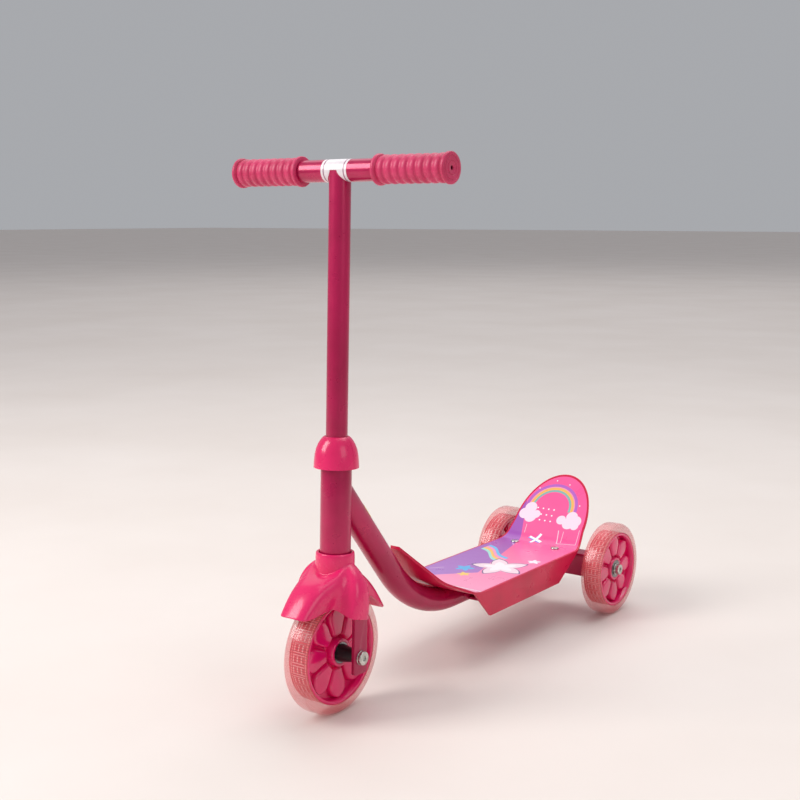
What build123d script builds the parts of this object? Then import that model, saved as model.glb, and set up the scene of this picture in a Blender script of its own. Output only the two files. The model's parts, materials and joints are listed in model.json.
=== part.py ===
"""Toddler kick scooter: one steered front wheel, two rear wheels, moulded deck and T handlebar.

Row frame: +Z up, front of the scooter towards -Y, +X on the rider's left, origin on the ground
under the middle of the whole scooter. All sizes in millimetres.
"""

from build123d import *
from math import cos, radians, sin, sqrt, tan
import os

# ---------------------------------------------------------------- driving dimensions
wheelbase = 468.0            # front axle to rear axle
rear_track_half = 78.0       # middle plane of each rear wheel from the centre line

front_tyre_r = 65.3
rear_tyre_r = 58.6
tyre_wall = 11.3             # tyre radius less rim radius
tyre_half_width = 12.4
tyre_shoulder_r = 7.0        # rounding of the tread's shoulders
band_thick = 0.4             # printed film ring between rim and tyre

rim_half_width = 11.8
rim_thick = 3.6
web_half_thick = 1.6
petal_count = 8
petal_rise = 5.5             # how far a petal stands off the web
petal_share = 0.22           # half a petal's width, as a share of its distance from the axle
petal_rim_gap = 1.5          # between a petal's tip and the rim
front_boss_half = 12.0
rear_boss_half = 9.0
boss_wall = 3.4

bearing_r = 11.0
bearing_width = 7.0
sleeve_wall = 1.6

axle_r = 4.0
running_gap = 0.05           # radial clearance of a shaft that turns in its bore
axle_hole_gap = 0.1          # radial clearance of an axle in a hole that doesn't turn on it
end_gap = 0.2                # free play between faces that slide past each other
washer_thick = 1.2
washer_r = 7.4
bolt_head_r = 7.1
bolt_head_height = 3.6
nut_flats = 13.0
nut_height = 5.0
hex_key = 5.0
hex_depth = 1.8

steer_angle = 1.85           # degrees that the steering axis leans back
steer_trail = 2.2            # steering axis behind the front axle

stem_r = 11.1
stem_wall = 1.5
steerer_gap = 0.15
steerer_wall = 1.6
steerer_over_head = 35.0     # how far the steerer stands over the head tube
bar_height = 487.5           # heights are measured along the steering axis from the axle
bar_r = 11.1
bar_wall = 1.4
bar_half = 131.2
wrap_half = 16.0
wrap_thick = 0.2

grip_inner_end = 48.0        # where each grip starts, from the middle of the bar
grip_body_r = 12.9
grip_rib_r = 14.2
grip_rib_count = 8
grip_rib_share = 0.55        # part of the rib pitch that the rib fills
grip_flange_r = 15.3
grip_flange_width = 4.0
grip_end_wall = 2.0
grip_end_hole_r = 2.2

head_r = 15.9
head_wall = 1.8
head_length = 119.4
bush_flange = 2.0
bush_length = 15.0

crown_gap = 5.7              # from the tyre up to the fork's bridge
yoke_thick = 4.0
yoke_out = 37.0              # outer face of each fork leg from the centre line
yoke_width = 20.0
yoke_bend_r = 14.0
leg_below_axle = 17.0
leg_corner_r = 3.0

cover_wall = 2.2
collar_r = 20.2
collar_over_crown = 29.3     # heights of the cover's features over the top of the fork's bridge
shoulder_base_drop = 13.0    # where the leg sleeves start to curve in to the shoulders
shoulder_mid_rise = 3.5
shoulder_mid_inset = 4.2     # how far in from the sleeve's outer face the shoulder's middle is
shoulder_top_rise = 19.0
shoulder_top_half = 20.0
sleeve_gap = 1.8             # between the fork's leg and the wall of its sleeve
sleeve_depth = 25.4
sleeve_drop = 34.0
sleeve_inner = 32.6          # inner face of each leg sleeve from the centre line
skirt_drop = 10.3            # lower edge of the cover between its legs, below the tyre's top
tyre_window_gap = 4.2
fender_half = 17.5
fender_gap = 19.7            # from the tyre to the fender's outer face
fender_crown = 4.5           # how much the fender's middle stands over its sides
fender_front = 50.0          # degrees in front of the axle's vertical
fender_rear = 64.0

dome_overlap = 8.6           # how far the dome reaches down over the head tube
dome_height = 31.8
dome_room = 4.2              # between the lock collar and the dome's wall at its lower edge
dome_top_gap = 1.5           # between the stem and the dome's top edge
dome_wall = 2.0
lock_wall = 5.9              # the lock collar's wall round the stem
lock_height = 10.0
lock_slot = 2.0
lock_screw_r = 2.0

tube_r = 14.0
tube_wall = 1.6
tube_slope = 50.7            # degrees below horizontal of the tube's front run
tube_join_drop = 28.4        # below the head tube's top, where the tube's centre line aims
tube_bend_r = 148.0
label_thick = 0.2
label_length = 62.0
label_start = 42.0           # along the front run, from the steering axis
label_sweep = 100.0          # degrees of the tube that the label covers

deck_top = 88.5
deck_thick = 2.5
deck_half = 57.0
deck_wall = 2.5
plate_spare = 20.0           # plate drawn past its ends, before its outline is cut
deck_tube_gap = 1.0
tray_bottom = 57.0
nose_tip_y = -42.0           # the deck's front stations, measured back from the tube's lower bend
nose_tip_half = 6.0
nose_straight_y = 27.0
tray_front_top_y = 27.5
sheet_front_y = 34.0
nose_fold_y = 39.0           # first, gentle fold of the nose
tray_front_y = 64.0
front_screw_y = 95.0
nose_fold_angle = 26.0
nose_fold_r = 60.0
nose_rise_angle = 47.0
nose_rise_r = 40.0
tray_rear_lead = 95.0        # the deck's rear stations, measured forward from the rear axle
deck_bolt_lead = 58.0
tray_rear_top_lead = 48.0
tail_fold_lead = 42.0
tail_arch_lead = 22.0
tail_reach = 29.0            # behind the rear axle
tail_fold_r = 24.0
tail_angle = 47.7
tail_half = 51.5
rib_depth = 6.0
rib_thick = 2.0
rib_count = 6
sheet_thick = 0.3
sheet_inset = 2.5

deck_bolt_x = 29.5
deck_bolt_r = 3.0
deck_bolt_head_r = 5.2
deck_bolt_head_height = 2.4
deck_bolt_tail = 2.0
deck_nut_flats = 10.0
deck_nut_height = 4.0
screw_r = 2.0
screw_head_r = 4.0
screw_head_height = 2.4
boss_r = 4.5
bracket_reach = 40.0
bracket_width = 18.0
bracket_thick = 3.0
front_bracket_top = 66.0
bracket_root = 6.0
bracket_web = 21.0           # where the rear bracket's leaf leaves its web
screw_bite = 12.0

beam_height = 30.0
beam_depth = 25.0
beam_half = 62.0
beam_wall = 1.6
beam_corner_r = 3.0
beam_plate = 3.0
spacer_r = 8.0
cone_big_r = 9.4
cone_small_r = 5.6

# ---------------------------------------------------------------- places worked out from them
crown_top = front_tyre_r + crown_gap + yoke_thick
front_axle_y = -(wheelbase + rear_tyre_r - front_tyre_r) / 2
rear_axle_y = front_axle_y + wheelbase
lean = radians(steer_angle)
fore = Vector(0, cos(lean), -sin(lean))
rise = Vector(0, sin(lean), cos(lean))
front_axle = Vector(0, front_axle_y, front_tyre_r)
steer_foot = front_axle + fore * steer_trail
steer = Plane(origin=steer_foot, x_dir=(1, 0, 0), z_dir=rise)
front_side = Plane(origin=front_axle, x_dir=(0, 1, 0), z_dir=(1, 0, 0))


def back(y):
    """Row-frame Y of a place given as a distance behind the front axle."""
    return front_axle_y + y


def save(builder, name):
    """Label a finished piece and write its file."""
    builder.part.label = name
    export_step(builder.part, f"parts/{name}.step")


def along_x(x, y, z):
    """Plane across the X axis at a point, for round pieces on an axle."""
    return Plane(origin=(x, y, z), x_dir=(0, 1, 0), z_dir=(1, 0, 0))


os.makedirs("parts", exist_ok=True)

# ---------------------------------------------------------------- steering head
crown_bottom = crown_top - yoke_thick
stem_bottom = crown_top + cover_wall
thrust_top = stem_bottom + washer_thick
head_bottom = thrust_top + end_gap + bush_flange
head_top = head_bottom + head_length
bush_bore = stem_r + running_gap
head_bore = head_r - head_wall
steerer_r = stem_r - stem_wall - steerer_gap

with BuildPart() as head_tube:
    with BuildSketch(steer.offset(head_bottom)):
        Circle(head_r)
        Circle(head_bore, mode=Mode.SUBTRACT)
    extrude(amount=head_top - head_bottom)
save(head_tube, "head_tube")

with BuildPart() as lower_headset_bush:
    with BuildSketch(steer.offset(head_bottom)):
        Circle(head_r)
        Circle(bush_bore, mode=Mode.SUBTRACT)
    extrude(amount=-bush_flange)
    with BuildSketch(steer.offset(head_bottom)):
        Circle(head_bore)
        Circle(bush_bore, mode=Mode.SUBTRACT)
    extrude(amount=bush_length)
save(lower_headset_bush, "lower_headset_bush")

with BuildPart() as upper_headset_bush:
    with BuildSketch(steer.offset(head_top)):
        Circle(head_r)
        Circle(bush_bore, mode=Mode.SUBTRACT)
    extrude(amount=bush_flange)
    with BuildSketch(steer.offset(head_top)):
        Circle(head_bore)
        Circle(bush_bore, mode=Mode.SUBTRACT)
    extrude(amount=-bush_length)
save(upper_headset_bush, "upper_headset_bush")

with BuildPart() as thrust_washer:
    with BuildSketch(steer.offset(stem_bottom)):
        Circle(head_r)
        Circle(bush_bore, mode=Mode.SUBTRACT)
    extrude(amount=washer_thick)
save(thrust_washer, "thrust_washer")

# ---------------------------------------------------------------- stem, bar and grips
bar_centre = steer_foot + rise * bar_height
bar_axis_plane = along_x(0, bar_centre.Y, bar_centre.Z)

with BuildPart() as handlebar:
    with BuildSketch(bar_axis_plane):
        Circle(bar_r)
        Circle(bar_r - bar_wall, mode=Mode.SUBTRACT)
    extrude(amount=bar_half, both=True)
save(handlebar, "handlebar")

with BuildPart() as stem_tube:
    with BuildSketch(steer.offset(stem_bottom)):
        Circle(stem_r)
        Circle(stem_r - stem_wall, mode=Mode.SUBTRACT)
    extrude(amount=bar_height - stem_bottom)
    with BuildSketch(bar_axis_plane):
        Circle(bar_r)
    extrude(amount=2 * stem_r, both=True, mode=Mode.SUBTRACT)
save(stem_tube, "stem_tube")

with BuildPart() as steerer_tube:
    with BuildSketch(steer.offset(crown_top)):
        Circle(steerer_r)
        Circle(steerer_r - steerer_wall, mode=Mode.SUBTRACT)
    extrude(amount=head_top + steerer_over_head - crown_top)
save(steerer_tube, "steerer_tube")

with BuildPart() as handlebar_wrap:
    with BuildSketch(bar_axis_plane):
        Circle(bar_r + wrap_thick)
        Circle(bar_r, mode=Mode.SUBTRACT)
    extrude(amount=wrap_half, both=True)
    with BuildSketch(steer.offset(bar_height - 2 * bar_r)):
        Circle(stem_r + 1)
    extrude(amount=2 * bar_r, mode=Mode.SUBTRACT)
save(handlebar_wrap, "handlebar_wrap")

grip_outer_end = bar_half + grip_end_wall
rib_zone = grip_outer_end - grip_inner_end - 2 * grip_flange_width
rib_pitch = rib_zone / grip_rib_count
rib_width = rib_pitch * grip_rib_share

for side, name in ((1, "left_grip"), (-1, "right_grip")):
    with BuildPart() as grip:
        with BuildSketch(along_x(side * grip_inner_end, bar_centre.Y, bar_centre.Z)):
            Circle(grip_body_r)
        extrude(amount=side * (grip_outer_end - grip_inner_end))
        with BuildSketch(along_x(side * grip_inner_end, bar_centre.Y, bar_centre.Z)):
            Circle(grip_flange_r)
        extrude(amount=side * grip_flange_width)
        with BuildSketch(along_x(side * grip_outer_end, bar_centre.Y, bar_centre.Z)):
            Circle(grip_flange_r)
        extrude(amount=-side * grip_flange_width)
        for rib in range(grip_rib_count):
            rib_x = grip_inner_end + grip_flange_width + rib_pitch * (rib + 0.5)
            with BuildSketch(along_x(side * rib_x, bar_centre.Y, bar_centre.Z)):
                Circle(grip_rib_r)
            extrude(amount=rib_width / 2, both=True)
        with BuildSketch(along_x(side * grip_inner_end, bar_centre.Y, bar_centre.Z)):
            Circle(bar_r)
        extrude(amount=side * (bar_half - grip_inner_end), mode=Mode.SUBTRACT)
        with BuildSketch(along_x(side * grip_outer_end, bar_centre.Y, bar_centre.Z)):
            Circle(grip_end_hole_r)
        extrude(amount=-side * grip_end_wall, mode=Mode.SUBTRACT)
    save(grip, name)

# ---------------------------------------------------------------- dome and lock collar
lock_bottom = head_top + bush_flange + end_gap
lock_r = stem_r + lock_wall
dome_r = lock_r + dome_room + dome_wall
dome_bottom = head_top - dome_overlap
dome_top = dome_bottom + dome_height
dome_top_r = stem_r + dome_top_gap

with BuildPart() as lock_collar:
    with BuildSketch(steer.offset(lock_bottom)):
        Circle(lock_r)
        Circle(stem_r, mode=Mode.SUBTRACT)
        with Locations((0, (lock_r + stem_r) / 2)):
            Rectangle(lock_slot, lock_r, mode=Mode.SUBTRACT)
    extrude(amount=lock_height)
    screw_y = (lock_r + stem_r) / 2
    lock_screw_plane = Plane(
        origin=steer.from_local_coords(Vector(0, screw_y, lock_bottom + lock_height / 2)),
        x_dir=(0, 1, 0), z_dir=(1, 0, 0))
    with BuildSketch(lock_screw_plane):
        Circle(lock_screw_r)
    extrude(amount=lock_r, both=True, mode=Mode.SUBTRACT)
save(lock_collar, "lock_collar")

lock_screw_half = sqrt(lock_r ** 2 - screw_y ** 2)
with BuildPart() as lock_collar_screw:
    with BuildSketch(lock_screw_plane):
        Circle(lock_screw_r)
    extrude(amount=lock_screw_half, both=True)
save(lock_collar_screw, "lock_collar_screw")


def dome_outline(out):
    """Half section of the dome, drawn out by a distance, from the axis outwards."""
    waist = dome_bottom + (dome_top - dome_bottom) * 0.35
    with BuildLine() as outline:
        Line((0, dome_bottom), (dome_r + out, dome_bottom))
        Line((dome_r + out, dome_bottom), (dome_r - 0.8 + out, waist))
        ThreePointArc(
            (dome_r - 0.8 + out, waist),
            (dome_r - 3.4 + out, dome_top - 7.5 + out),
            (dome_top_r + out, dome_top + out))
        Line((dome_top_r + out, dome_top + out), (0, dome_top + out))
        Line((0, dome_top + out), (0, dome_bottom))
    return outline


steer_section = Plane(origin=steer_foot, x_dir=(1, 0, 0), z_dir=-fore)
with BuildPart() as dome_cover:
    with BuildSketch(steer_section):
        add(dome_outline(0).line)
        make_face()
    revolve(axis=Axis(steer_foot, rise))
    with BuildSketch(steer_section):
        add(dome_outline(-dome_wall).line)
        make_face()
    revolve(axis=Axis(steer_foot, rise), mode=Mode.SUBTRACT)
    with BuildSketch(steer.offset(dome_bottom)):
        Circle(stem_r)
    extrude(amount=dome_top, mode=Mode.SUBTRACT)
save(dome_cover, "dome_cover")

# ---------------------------------------------------------------- fork
yoke_middle = steer_foot - fore * steer_trail
yoke_plane = Plane(origin=yoke_middle, x_dir=(1, 0, 0), z_dir=-fore)
leg_length = crown_top + leg_below_axle

with BuildPart() as fork_yoke:
    with BuildSketch(yoke_plane):
        with Locations((0, (crown_top - leg_below_axle) / 2)):
            Rectangle(2 * yoke_out, leg_length)
        fillet(vertices().group_by(Axis.Y)[-1], yoke_bend_r)
    extrude(amount=yoke_width / 2, both=True)
    with BuildSketch(yoke_plane):
        with Locations((0, (crown_bottom - leg_below_axle) / 2)):
            Rectangle(2 * (yoke_out - yoke_thick), leg_length - yoke_thick)
        fillet(vertices().group_by(Axis.Y)[-1], yoke_bend_r - yoke_thick)
    extrude(amount=yoke_width / 2, both=True, mode=Mode.SUBTRACT)
    with BuildSketch(front_side):
        Circle(axle_r + axle_hole_gap)
    extrude(amount=yoke_out, both=True, mode=Mode.SUBTRACT)
    fillet(edges().filter_by(Axis.X).sort_by(Axis.Z)[:4], leg_corner_r)
save(fork_yoke, "fork_yoke")

# ---------------------------------------------------------------- fork cover
cover_middle = -steer_trail
collar_top = crown_top + collar_over_crown
sleeve_out = yoke_out + sleeve_gap + cover_wall
sleeve_bottom = crown_top - sleeve_drop
shoulder_base = crown_top - shoulder_base_drop
shoulder_mid = (sleeve_out - shoulder_mid_inset, crown_top + shoulder_mid_rise)
shoulder_top = (shoulder_top_half, crown_top + shoulder_top_rise)
skirt_bottom = front_tyre_r - skirt_drop
tyre_window_top = front_tyre_r + tyre_window_gap
fender_r = front_tyre_r + fender_gap
front_radial = Plane(
    origin=front_axle, x_dir=(1, 0, 0),
    z_dir=(0, -cos(radians(fender_front)), -sin(radians(fender_front))))
fender_side_r = fender_r - fender_crown
sleeve_inner_half = sleeve_depth / 2 - cover_wall

with BuildPart() as fork_cover:
    with BuildSketch(yoke_plane) as front_view:
        with BuildLine():
            Line((-sleeve_out, sleeve_bottom), (sleeve_out, sleeve_bottom))
            Line((sleeve_out, sleeve_bottom), (sleeve_out, shoulder_base))
            ThreePointArc((sleeve_out, shoulder_base), shoulder_mid, shoulder_top)
            Line(shoulder_top, (-shoulder_top[0], shoulder_top[1]))
            ThreePointArc(
                (-shoulder_top[0], shoulder_top[1]),
                (-shoulder_mid[0], shoulder_mid[1]),
                (-sleeve_out, shoulder_base))
            Line((-sleeve_out, shoulder_base), (-sleeve_out, sleeve_bottom))
        make_face()
    extrude(amount=sleeve_depth / 2, both=True)
    with BuildSketch(front_radial):
        with BuildLine():
            ThreePointArc((-fender_half, fender_side_r), (0, fender_r), (fender_half, fender_side_r))
            Line((fender_half, fender_side_r), (fender_half, fender_side_r - cover_wall))
            ThreePointArc(
                (fender_half, fender_side_r - cover_wall),
                (0, fender_r - cover_wall),
                (-fender_half, fender_side_r - cover_wall))
            Line((-fender_half, fender_side_r - cover_wall), (-fender_half, fender_side_r))
        make_face()
    revolve(axis=Axis(front_axle, (-1, 0, 0)), revolution_arc=fender_front + fender_rear)
    for side in (1, -1):
        with BuildSketch(along_x(side * fender_half, front_axle.Y, front_axle.Z)):
            Circle(fender_side_r - cover_wall / 2)
            with Locations((fender_r, 0)):
                Rectangle(2 * fender_r, 4 * fender_r, mode=Mode.SUBTRACT)
            with Locations((0, skirt_bottom - fender_r)):
                Rectangle(4 * fender_r, 2 * fender_r, mode=Mode.SUBTRACT)
        extrude(amount=-side * cover_wall)
    with BuildSketch(steer.offset(shoulder_top[1] - cover_wall)):
        Circle(collar_r)
    extrude(amount=collar_top - shoulder_top[1] + cover_wall)
    with BuildSketch(yoke_plane):
        add(front_view.sketch_local)
        offset(amount=-cover_wall, mode=Mode.REPLACE)
        with Locations((0, sleeve_bottom)):
            Rectangle(2 * (sleeve_out - cover_wall), 2 * sleeve_inner_half)
    extrude(amount=sleeve_inner_half, both=True, mode=Mode.SUBTRACT)
    with BuildSketch(yoke_plane):
        with Locations((0, (skirt_bottom + sleeve_bottom) / 2)):
            Rectangle(2 * sleeve_inner, skirt_bottom - sleeve_bottom)
        with Locations((0, tyre_window_top / 2)):
            Rectangle(2 * (fender_half - cover_wall), tyre_window_top)
    extrude(amount=sleeve_depth, both=True, mode=Mode.SUBTRACT)
    with BuildSketch(steer.offset(crown_top)):
        with Locations((0, cover_middle)):
            Rectangle(2 * shoulder_mid[0] - cover_wall, 2 * sleeve_inner_half)
    extrude(amount=cover_wall)
    with BuildSketch(steer.offset(stem_bottom)):
        Circle(collar_r - cover_wall)
    extrude(amount=collar_top, mode=Mode.SUBTRACT)
    with BuildSketch(steer.offset(crown_top)):
        Circle(steerer_r + axle_hole_gap)
    extrude(amount=cover_wall, mode=Mode.SUBTRACT)
save(fork_cover, "fork_cover")

# ---------------------------------------------------------------- front axle
cone_start = front_boss_half + end_gap
cone_end = yoke_out - yoke_thick
head_start = yoke_out + washer_thick

with BuildPart() as front_axle_spacers:
    for side in (1, -1):
        with BuildSketch(front_side.offset(side * cone_start)):
            Circle(cone_big_r)
        with BuildSketch(front_side.offset(side * cone_end)):
            Circle(cone_small_r)
        loft()
    with BuildSketch(front_side):
        Circle(axle_r + axle_hole_gap)
    extrude(amount=cone_end, both=True, mode=Mode.SUBTRACT)
save(front_axle_spacers, "front_axle_spacers")

with BuildPart() as front_axle_washers:
    for side in (1, -1):
        with BuildSketch(front_side.offset(side * yoke_out)):
            Circle(washer_r)
            Circle(axle_r + axle_hole_gap, mode=Mode.SUBTRACT)
        extrude(amount=side * washer_thick)
save(front_axle_washers, "front_axle_washers")

with BuildPart() as front_axle_bolt:
    with BuildSketch(front_side.offset(-head_start - bolt_head_height)):
        Circle(axle_r)
    extrude(amount=2 * head_start + bolt_head_height)
    with BuildSketch(front_side.offset(head_start)):
        Circle(bolt_head_r)
    extrude(amount=bolt_head_height)
    fillet(edges().sort_by(Axis.X)[-1], bolt_head_height / 4)
    with BuildSketch(front_side.offset(head_start + bolt_head_height)):
        RegularPolygon(hex_key / 2, 6, major_radius=False)
    extrude(amount=-hex_depth, mode=Mode.SUBTRACT)
save(front_axle_bolt, "front_axle_bolt")

with BuildPart() as front_axle_nut:
    with BuildSketch(front_side.offset(-head_start)):
        RegularPolygon(nut_flats / 2, 6, major_radius=False)
    extrude(amount=-nut_height)
    with BuildSketch(front_side.offset(-head_start)):
        Circle(axle_r)
    extrude(amount=-bolt_head_height, mode=Mode.SUBTRACT)
save(front_axle_nut, "front_axle_nut")

# ---------------------------------------------------------------- wheels


def wheel_plane(centre, side=0.0):
    """Plane across a wheel's axle, a distance to the left of its middle."""
    return along_x(centre.X + side, centre.Y, centre.Z)


def make_wheel(name, centre, tyre_r, boss_halves):
    """One wheel: tyre, printed ring, hub, two bearings and the sleeve between them.

    boss_halves gives the hub boss's reach to the right and to the left of the wheel's middle.
    """
    tyre_inner = tyre_r - tyre_wall
    rim_outer = tyre_inner - band_thick
    rim_inner = rim_outer - rim_thick
    boss_r = bearing_r + boss_wall
    right, left = boss_halves
    sleeve_right = right - bearing_width
    sleeve_left = left - bearing_width
    middle = wheel_plane(centre)

    with BuildPart() as tyre:
        with BuildSketch(middle):
            Circle(tyre_r)
            Circle(tyre_inner, mode=Mode.SUBTRACT)
        extrude(amount=tyre_half_width, both=True)
        fillet(edges().filter_by(GeomType.CIRCLE).sort_by(SortBy.RADIUS)[-2:], tyre_shoulder_r)
    save(tyre, f"{name}_tyre")

    with BuildPart() as band:
        with BuildSketch(middle):
            Circle(tyre_inner)
            Circle(rim_outer, mode=Mode.SUBTRACT)
        extrude(amount=rim_half_width, both=True)
    save(band, f"{name}_print_band")

    with BuildPart() as hub:
        with BuildSketch(middle):
            Circle(rim_outer)
            Circle(rim_inner, mode=Mode.SUBTRACT)
        extrude(amount=rim_half_width, both=True)
        with BuildSketch(middle):
            Circle(rim_inner)
        extrude(amount=web_half_thick, both=True)
        petal_tip = rim_inner - petal_rim_gap
        petal_length = petal_tip - boss_r
        petal_middle = (petal_tip + boss_r) / 2
        with BuildSketch(middle):
            with PolarLocations(petal_middle, petal_count):
                Ellipse(petal_length / 2, petal_middle * petal_share)
            Circle(boss_r + 1)
        extrude(amount=web_half_thick + petal_rise, both=True)
        with BuildSketch(wheel_plane(centre, -right)):
            Circle(boss_r)
        extrude(amount=right + left)
        with BuildSketch(wheel_plane(centre, -right)):
            Circle(bearing_r)
        extrude(amount=bearing_width, mode=Mode.SUBTRACT)
        with BuildSketch(wheel_plane(centre, left)):
            Circle(bearing_r)
        extrude(amount=-bearing_width, mode=Mode.SUBTRACT)
        with BuildSketch(wheel_plane(centre, -right)):
            Circle(axle_r + running_gap + sleeve_wall)
        extrude(amount=right + left, mode=Mode.SUBTRACT)
    save(hub, f"{name}_hub")

    with BuildPart() as bearings:
        for start, reach in ((-right, bearing_width), (left, -bearing_width)):
            with BuildSketch(wheel_plane(centre, start)):
                Circle(bearing_r)
                Circle(axle_r + running_gap, mode=Mode.SUBTRACT)
            extrude(amount=reach)
    save(bearings, f"{name}_bearings")

    with BuildPart() as sleeve:
        with BuildSketch(wheel_plane(centre, -sleeve_right)):
            Circle(axle_r + running_gap + sleeve_wall)
            Circle(axle_r + running_gap, mode=Mode.SUBTRACT)
        extrude(amount=sleeve_right + sleeve_left)
    save(sleeve, f"{name}_bearing_sleeve")


rear_axle = Vector(0, rear_axle_y, rear_tyre_r)
left_centre = rear_axle + Vector(rear_track_half, 0, 0)
right_centre = rear_axle - Vector(rear_track_half, 0, 0)
make_wheel("front_wheel", front_axle, front_tyre_r, (front_boss_half, front_boss_half))
make_wheel("rear_left_wheel", left_centre, rear_tyre_r, (rear_boss_half, rear_boss_half))
make_wheel("rear_right_wheel", right_centre, rear_tyre_r, (rear_boss_half, rear_boss_half))

# ---------------------------------------------------------------- rear beam and axle
rear_side = along_x(0, rear_axle.Y, rear_axle.Z)
beam_end = beam_half + beam_plate
spacer_end = rear_track_half - rear_boss_half - end_gap
outer_start = rear_track_half + rear_boss_half + end_gap
nut_start = outer_start + washer_thick
rod_half = nut_start + nut_height - hex_depth

with BuildPart() as rear_beam:
    with BuildSketch(rear_side):
        Rectangle(beam_depth, beam_height)
    extrude(amount=beam_half, both=True)
    fillet(edges().filter_by(Axis.X), beam_corner_r)
    with BuildSketch(rear_side):
        RectangleRounded(
            beam_depth - 2 * beam_wall, beam_height - 2 * beam_wall, beam_corner_r - beam_wall)
    extrude(amount=beam_half, both=True, mode=Mode.SUBTRACT)
save(rear_beam, "rear_beam")

with BuildPart() as beam_end_plates:
    for side in (1, -1):
        with BuildSketch(rear_side.offset(side * beam_half)):
            RectangleRounded(beam_depth, beam_height, beam_corner_r)
            Circle(axle_r + axle_hole_gap, mode=Mode.SUBTRACT)
        extrude(amount=side * beam_plate)
save(beam_end_plates, "beam_end_plates")

with BuildPart() as rear_wheel_spacers:
    for side in (1, -1):
        with BuildSketch(rear_side.offset(side * beam_end)):
            Circle(spacer_r)
            Circle(axle_r + axle_hole_gap, mode=Mode.SUBTRACT)
        extrude(amount=side * (spacer_end - beam_end))
save(rear_wheel_spacers, "rear_wheel_spacers")

with BuildPart() as rear_axle_rod:
    with BuildSketch(rear_side):
        Circle(axle_r)
    extrude(amount=rod_half, both=True)
save(rear_axle_rod, "rear_axle_rod")

with BuildPart() as rear_axle_washers:
    for side in (1, -1):
        with BuildSketch(rear_side.offset(side * outer_start)):
            Circle(washer_r)
            Circle(axle_r + axle_hole_gap, mode=Mode.SUBTRACT)
        extrude(amount=side * washer_thick)
save(rear_axle_washers, "rear_axle_washers")

with BuildPart() as rear_axle_nuts:
    for side in (1, -1):
        with BuildSketch(rear_side.offset(side * nut_start)):
            Circle(nut_flats / 2)
        extrude(amount=side * nut_height)
        with BuildSketch(rear_side.offset(side * nut_start)):
            Circle(axle_r)
        extrude(amount=side * (rod_half - nut_start), mode=Mode.SUBTRACT)
        with BuildSketch(rear_side.offset(side * (nut_start + nut_height))):
            RegularPolygon(hex_key / 2, 6, major_radius=False)
        extrude(amount=-side * hex_depth, mode=Mode.SUBTRACT)
save(rear_axle_nuts, "rear_axle_nuts")

# ---------------------------------------------------------------- down tube
tube_centre_z = deck_top - deck_thick - deck_tube_gap - tube_r
tube_join = head_top - tube_join_drop
join = steer_foot + rise * tube_join
slope = radians(tube_slope)
run_down = Vector(0, cos(slope), -sin(slope))
corner = join + run_down * ((join.Z - tube_centre_z) / sin(slope))
beam_front = rear_axle_y - beam_depth / 2
tube_end = Vector(0, beam_front, tube_centre_z)
tube_start = Plane(origin=join, x_dir=(1, 0, 0), z_dir=run_down)

with BuildPart() as down_tube:
    with BuildLine() as tube_route:
        FilletPolyline(join, corner, tube_end, radius=tube_bend_r)
    with BuildSketch(tube_start):
        Circle(tube_r)
        Circle(tube_r - tube_wall, mode=Mode.SUBTRACT)
    sweep(path=tube_route.line)
    with BuildSketch(steer.offset(tube_join - 4 * tube_r)):
        Circle(head_r)
    extrude(amount=8 * tube_r, mode=Mode.SUBTRACT)
    with BuildSketch(Plane.XZ.offset(-join.Y)):
        Rectangle(8 * tube_r, 8 * bar_height)
    extrude(amount=8 * tube_r, mode=Mode.SUBTRACT)
save(down_tube, "down_tube")

label_plane = Plane(origin=join + run_down * label_start, x_dir=(1, 0, 0), z_dir=run_down)
label_edge = tube_r + label_thick
label_flare = tan(radians(label_sweep / 2)) * 2 * label_edge
with BuildPart() as tube_label:
    with BuildSketch(label_plane):
        Circle(label_edge)
        Circle(tube_r, mode=Mode.SUBTRACT)
        with BuildLine(mode=Mode.PRIVATE) as label_sector:
            Polyline((0, 0), (label_flare, -2 * label_edge), (-label_flare, -2 * label_edge), (0, 0))
        make_face(label_sector.edges(), mode=Mode.INTERSECT)
    extrude(amount=label_length)
save(tube_label, "tube_label")

# ---------------------------------------------------------------- deck
deck_under = deck_top - deck_thick
bend_y = corner.Y - front_axle_y + tube_r * tan(slope / 2)
nose_tip = bend_y + nose_tip_y
nose_rise_fold = bend_y      # second fold, up in front of the tube
nose_straight = bend_y + nose_straight_y
tray_front_top = bend_y + tray_front_top_y
sheet_front = bend_y + sheet_front_y
nose_fold = bend_y + nose_fold_y
tray_front = bend_y + tray_front_y
front_screw_back = bend_y + front_screw_y
tray_rear = wheelbase - tray_rear_lead
deck_bolt_y = wheelbase - deck_bolt_lead
tray_rear_top = wheelbase - tray_rear_top_lead
tail_fold = wheelbase - tail_fold_lead
tail_arch_start = wheelbase - tail_arch_lead
tail_tip = wheelbase + tail_reach
wall_front_top = deck_top + (nose_fold - tray_front_top) * tan(radians(nose_fold_angle))


def deck_line(lift):
    """Side view of the deck's top face, lifted by a distance square to it, tip to tail."""
    slopes = [radians(angle) for angle in (-nose_rise_angle, -nose_fold_angle, 0, tail_angle)]
    rise_z = deck_top + (nose_fold - nose_rise_fold) * tan(radians(nose_fold_angle))
    folds = [(nose_rise_fold, rise_z), (nose_fold, deck_top), (tail_fold, deck_top)]
    points = []
    for (y, z), before, after in zip(folds, slopes, slopes[1:]):
        middle = (before + after) / 2
        reach = lift / cos((after - before) / 2)
        points.append((y - reach * sin(middle), z + reach * cos(middle)))
    first_y, first_z = points[0]
    last_y, last_z = points[-1]
    start_y = nose_tip - plate_spare
    stop_y = tail_tip + plate_spare
    points.insert(0, (start_y, first_z + (start_y - first_y) * tan(slopes[0])))
    points.append((stop_y, last_z + (stop_y - last_y) * tan(slopes[-1])))
    return [(back(y), z) for y, z in points]


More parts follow.
